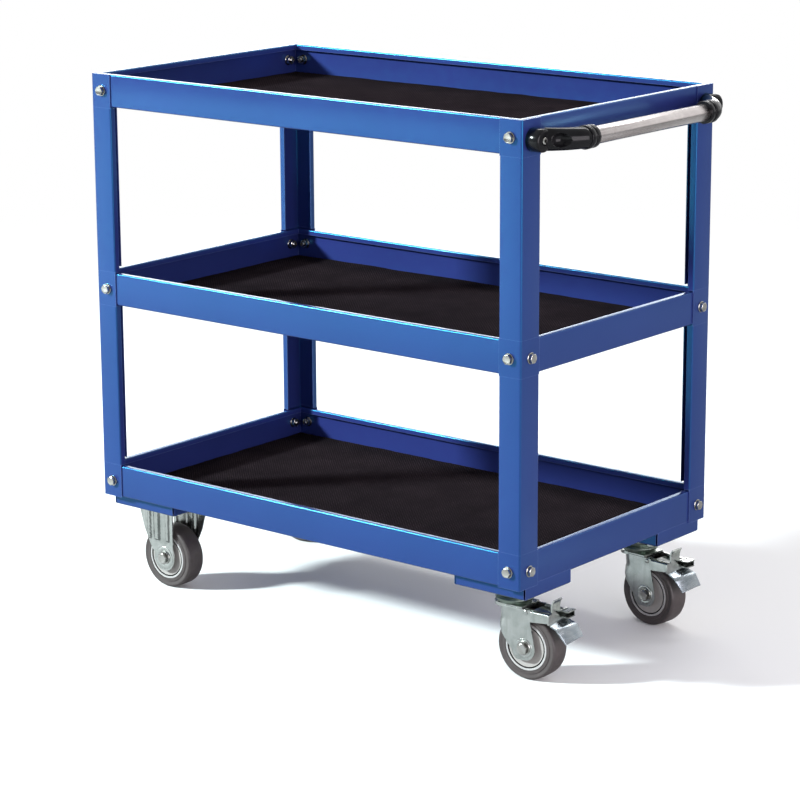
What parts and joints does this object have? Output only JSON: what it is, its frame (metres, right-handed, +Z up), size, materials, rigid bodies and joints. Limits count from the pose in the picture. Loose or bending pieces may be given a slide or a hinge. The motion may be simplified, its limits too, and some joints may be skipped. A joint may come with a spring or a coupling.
{
  "type": "tool cart",
  "caption": "Three-tier sheet-metal tool cart with matted trays, a push handle, fixed casters at one end and braked swivel casters at the other.",
  "frame": {"origin": "on the floor, under the middle of the whole cart's box", "axes": "+X along the trays towards the push handle, -Y towards the front side, +Z up"},
  "size_m": [0.8932, 0.4892, 0.827],
  "materials": {
    "blue_uprights": "blue powder coat, satin",
    "blue_trays": "blue powder coat, satin",
    "blue_brackets": "blue powder coat, satin",
    "black_mat": "black anti-slip mat, fine texture",
    "bolt_zinc": "bright zinc plated",
    "zinc_pressing": "zinc plated pressed steel",
    "pedal_zinc": "blue zinc plated pressed steel",
    "tyre_grey": "grey rubber tread, matt",
    "hub_grey": "grey moulded wheel centre",
    "stainless_tube": "satin stainless",
    "black_elbow": "black moulded plastic, glossy"
  },
  "bodies": {
    "frame": {"upright_front_left": "blue_uprights", "upright_front_right": "blue_uprights", "upright_rear_left": "blue_uprights", "upright_rear_right": "blue_uprights", "tray_bottom": "blue_trays", "tray_middle": "blue_trays", "tray_top": "blue_trays", "mat_bottom": "black_mat", "mat_middle": "black_mat", "mat_top": "black_mat", "caster_bracket_front_left": "blue_brackets", "caster_bracket_front_right": "blue_brackets", "caster_bracket_rear_left": "blue_brackets", "caster_bracket_rear_right": "blue_brackets", "handle_tube": "stainless_tube", "handle_bracket_front": "black_elbow", "handle_bracket_rear": "black_elbow", "bolt_bottom_front_left_side": "bolt_zinc", "bolt_bottom_front_left_end": "bolt_zinc", "bolt_bottom_front_right_side": "bolt_zinc", "bolt_bottom_front_right_end": "bolt_zinc", "bolt_bottom_rear_left_side": "bolt_zinc", "bolt_bottom_rear_left_end": "bolt_zinc", "bolt_bottom_rear_right_side": "bolt_zinc", "bolt_bottom_rear_right_end": "bolt_zinc", "bolt_middle_front_left_side": "bolt_zinc", "bolt_middle_front_left_end": "bolt_zinc", "bolt_middle_front_right_side": "bolt_zinc", "bolt_middle_front_right_end": "bolt_zinc", "bolt_middle_rear_left_side": "bolt_zinc", "bolt_middle_rear_left_end": "bolt_zinc", "bolt_middle_rear_right_side": "bolt_zinc", "bolt_middle_rear_right_end": "bolt_zinc", "bolt_top_front_left_side": "bolt_zinc", "bolt_top_front_left_end": "bolt_zinc", "bolt_top_front_right_side": "bolt_zinc", "bolt_top_rear_left_side": "bolt_zinc", "bolt_top_rear_left_end": "bolt_zinc", "bolt_top_rear_right_side": "bolt_zinc", "front_left_fork": "zinc_pressing", "front_left_axle_bolt": "bolt_zinc", "front_right_top_plate": "zinc_pressing", "rear_left_fork": "zinc_pressing", "rear_left_axle_bolt": "bolt_zinc", "rear_right_top_plate": "zinc_pressing"},
    "front_left_wheel": {"front_left_tyre": "tyre_grey", "front_left_hub": "hub_grey"},
    "front_right_swivel": {"front_right_fork": "zinc_pressing", "front_right_axle_bolt": "bolt_zinc"},
    "front_right_wheel": {"front_right_tyre": "tyre_grey", "front_right_hub": "hub_grey"},
    "front_right_brake": {"front_right_brake_pedal": "pedal_zinc"},
    "rear_left_wheel": {"rear_left_tyre": "tyre_grey", "rear_left_hub": "hub_grey"},
    "rear_right_swivel": {"rear_right_fork": "zinc_pressing", "rear_right_axle_bolt": "bolt_zinc"},
    "rear_right_wheel": {"rear_right_tyre": "tyre_grey", "rear_right_hub": "hub_grey"},
    "rear_right_brake": {"rear_right_brake_pedal": "pedal_zinc"}
  },
  "joints": [
    {"name": "front_left_wheel_spin", "type": "hinge", "parent": "frame", "child": "front_left_wheel", "pos_m": [-0.36495, -0.16, 0.05], "axis": [0, 1, 0], "continuous": true},
    {"name": "front_right_swivel_turn", "type": "hinge", "parent": "frame", "child": "front_right_swivel", "pos_m": [0.31805, -0.16, 0.115], "axis": [0, 0, 1], "continuous": true},
    {"name": "front_right_wheel_spin", "type": "hinge", "parent": "front_right_swivel", "child": "front_right_wheel", "pos_m": [0.34902, -0.1587, 0.05], "axis": [-0.0419, 0.9991, 0], "continuous": true},
    {"name": "front_right_brake_press", "type": "hinge", "parent": "front_right_swivel", "child": "front_right_brake", "pos_m": [0.35202, -0.15858, 0.1046], "axis": [-0.0419, 0.9991, 0], "range_deg": [0, 7]},
    {"name": "rear_left_wheel_spin", "type": "hinge", "parent": "frame", "child": "rear_left_wheel", "pos_m": [-0.36495, 0.16, 0.05], "axis": [0, 1, 0], "continuous": true},
    {"name": "rear_right_swivel_turn", "type": "hinge", "parent": "frame", "child": "rear_right_swivel", "pos_m": [0.31805, 0.16, 0.115], "axis": [0, 0, 1], "continuous": true},
    {"name": "rear_right_wheel_spin", "type": "hinge", "parent": "rear_right_swivel", "child": "rear_right_wheel", "pos_m": [0.34888, 0.15676, 0.05], "axis": [0.1045, 0.9945, 0], "continuous": true},
    {"name": "rear_right_brake_press", "type": "hinge", "parent": "rear_right_swivel", "child": "rear_right_brake", "pos_m": [0.35186, 0.15645, 0.1046], "axis": [0.1045, 0.9945, 0], "range_deg": [0, 7]}
  ]
}
